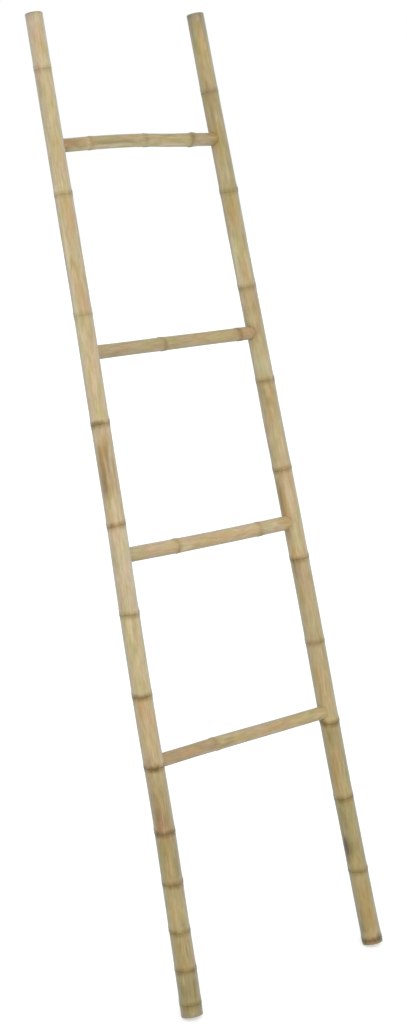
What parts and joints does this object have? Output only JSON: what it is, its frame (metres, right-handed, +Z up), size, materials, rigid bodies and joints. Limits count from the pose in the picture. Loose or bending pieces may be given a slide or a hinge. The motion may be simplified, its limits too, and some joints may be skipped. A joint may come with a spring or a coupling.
{
  "type": "towel ladder",
  "caption": "Leaning bamboo towel ladder: hollow cane rails that draw together towards the top, with round cane rungs set into them.",
  "frame": {"origin": "on the floor, midway between the two feet", "axes": "+Z up, +X along the rungs towards the right rail, +Y towards the wall that the ladder leans on"},
  "size_m": [0.5158, 0.5472, 1.8396],
  "materials": {
    "rail_left_cane": "dry natural bamboo skin, pale straw, matt to satin",
    "rail_right_cane": "dry natural bamboo skin, olive straw, matt to satin",
    "rung_cane": "dry natural bamboo skin, straw with brown stains, matt to satin",
    "peg_bamboo": "split bamboo, cut flush, matt"
  },
  "bodies": {
    "root": {"rail_left": "rail_left_cane", "rail_right": "rail_right_cane", "rung_1": "rung_cane", "rung_2": "rung_cane", "rung_3": "rung_cane", "rung_4": "rung_cane", "peg_1_left": "peg_bamboo", "peg_1_right": "peg_bamboo", "peg_2_left": "peg_bamboo", "peg_2_right": "peg_bamboo", "peg_3_left": "peg_bamboo", "peg_3_right": "peg_bamboo", "peg_4_left": "peg_bamboo", "peg_4_right": "peg_bamboo"}
  },
  "joints": []
}
